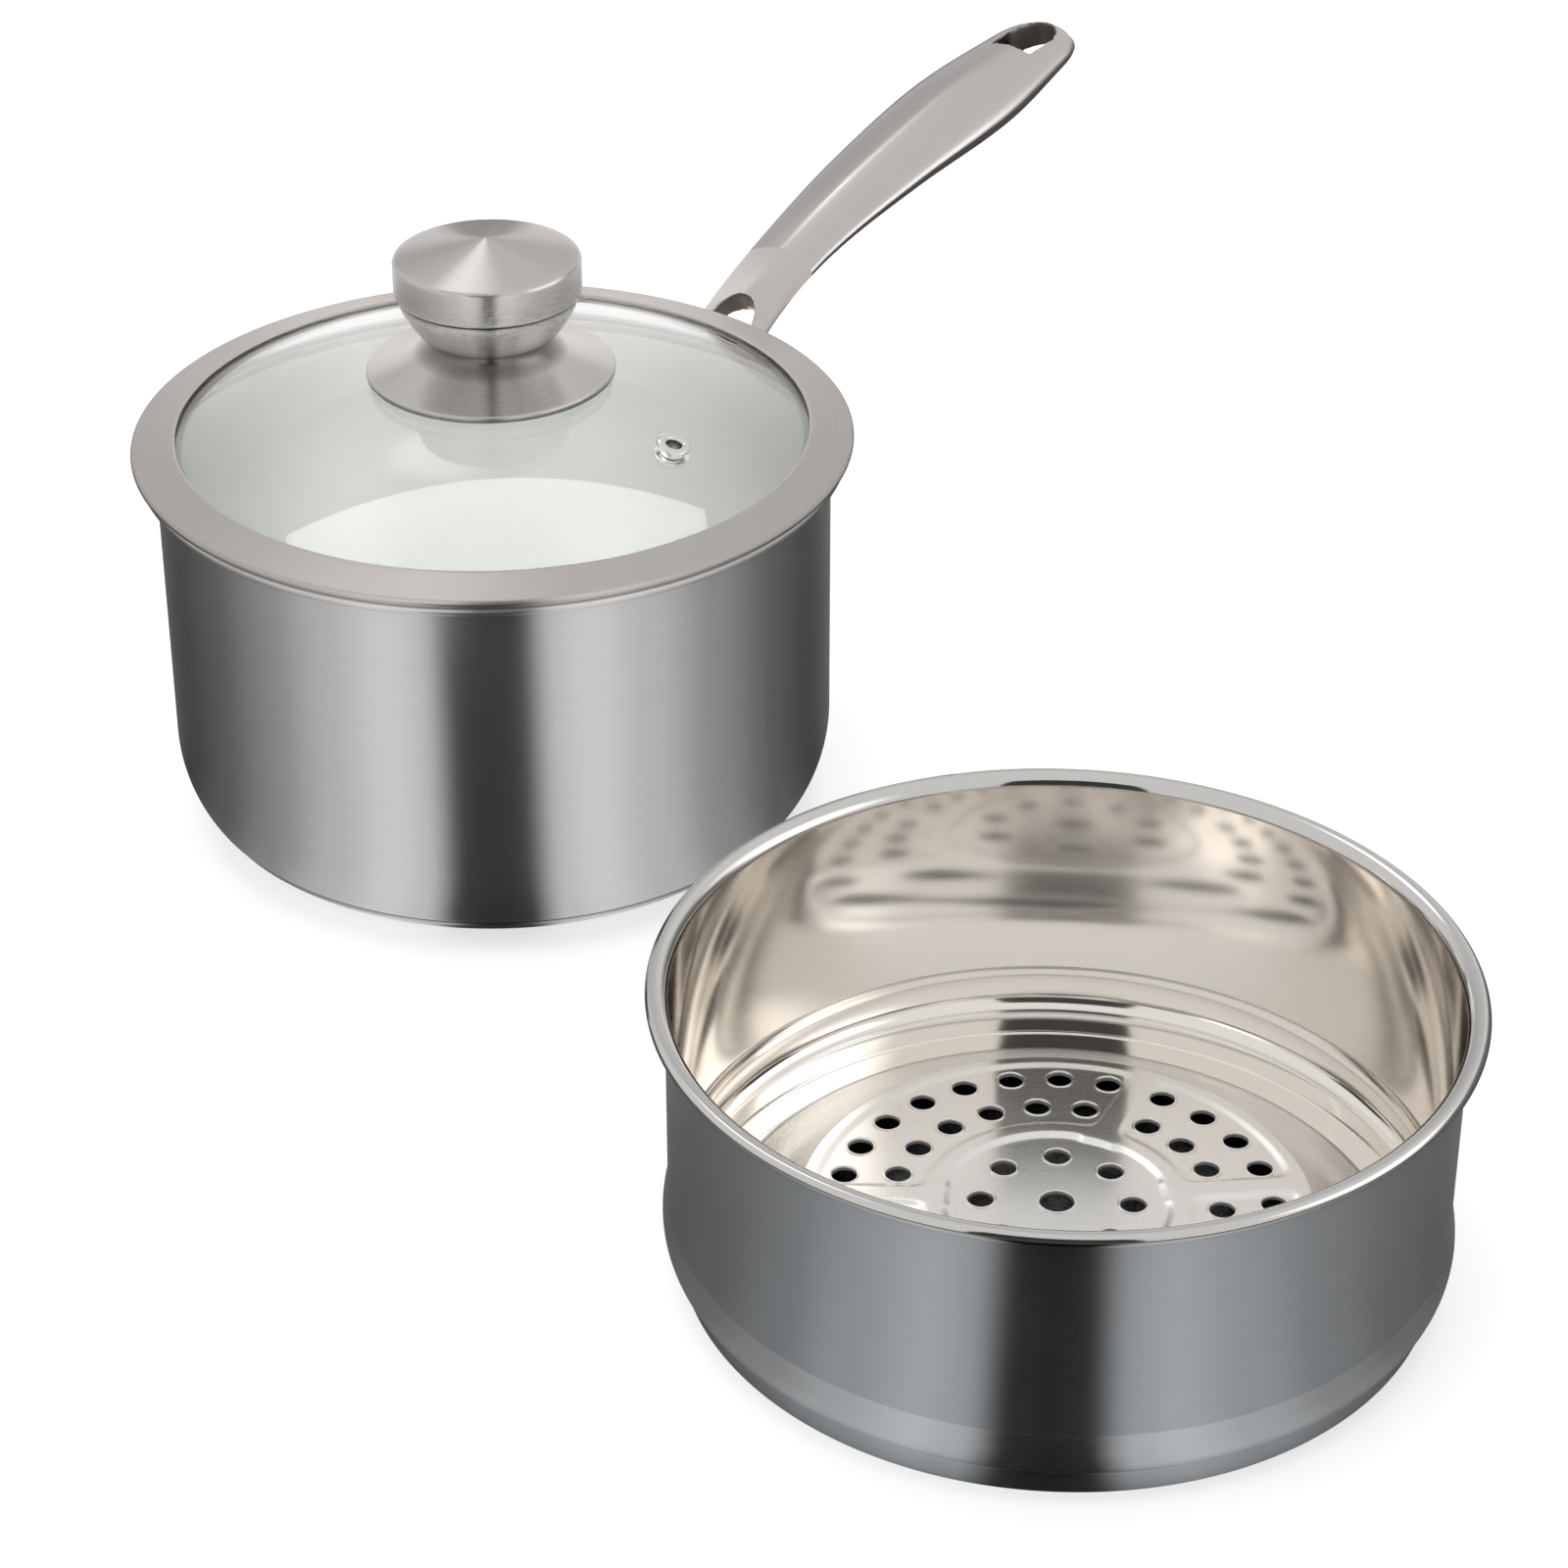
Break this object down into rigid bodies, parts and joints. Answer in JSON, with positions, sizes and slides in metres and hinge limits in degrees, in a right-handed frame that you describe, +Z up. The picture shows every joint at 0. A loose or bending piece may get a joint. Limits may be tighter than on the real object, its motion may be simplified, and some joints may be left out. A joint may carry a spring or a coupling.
{
  "type": "milk pan with steamer insert",
  "caption": "Stainless saucepan with a hollow cast handle, a domed glass lid with knob and steam vent, and a perforated steamer insert that seats in the pan's mouth.",
  "frame": {"origin": "centre of the pan's flat base, on the surface that it stands on", "axes": "+Z up, +X along the handle away from the pan; the steamer insert stands on the same surface, on the -Y side"},
  "size_m": [0.4434, 0.4368, 0.167],
  "materials": {
    "brushed_steel": "fine horizontal brushing",
    "satin_steel": "satin, slightly warm",
    "polished_steel": "bright polish inside, fine brushing outside",
    "aluminium_core": "plain, as rolled",
    "clear_glass": "clear tempered glass",
    "silicone": "matt translucent silicone"
  },
  "bodies": {
    "pan": {"pan_shell": "brushed_steel", "base_core": "aluminium_core", "base_cap": "brushed_steel", "handle": "satin_steel"},
    "lid": {"lid_ring": "satin_steel", "lid_glass": "clear_glass", "vent_eyelet": "polished_steel", "vent_washer": "polished_steel", "knob_base": "satin_steel", "knob_cup": "satin_steel", "knob_cap": "satin_steel", "knob_insert": "aluminium_core", "upper_gasket": "silicone", "lower_gasket": "silicone", "screw_washer": "polished_steel", "knob_screw": "polished_steel"},
    "steamer": {"steamer_body": "polished_steel"}
  },
  "joints": [
    {"name": "lid_lift", "type": "slide", "parent": "pan", "child": "lid", "axis": [0, 0, 1], "range_m": [0, 0.2]},
    {"name": "steamer_lift", "type": "slide", "parent": "pan", "child": "steamer", "axis": [0, 0, 1], "range_m": [0, 0.2]}
  ]
}
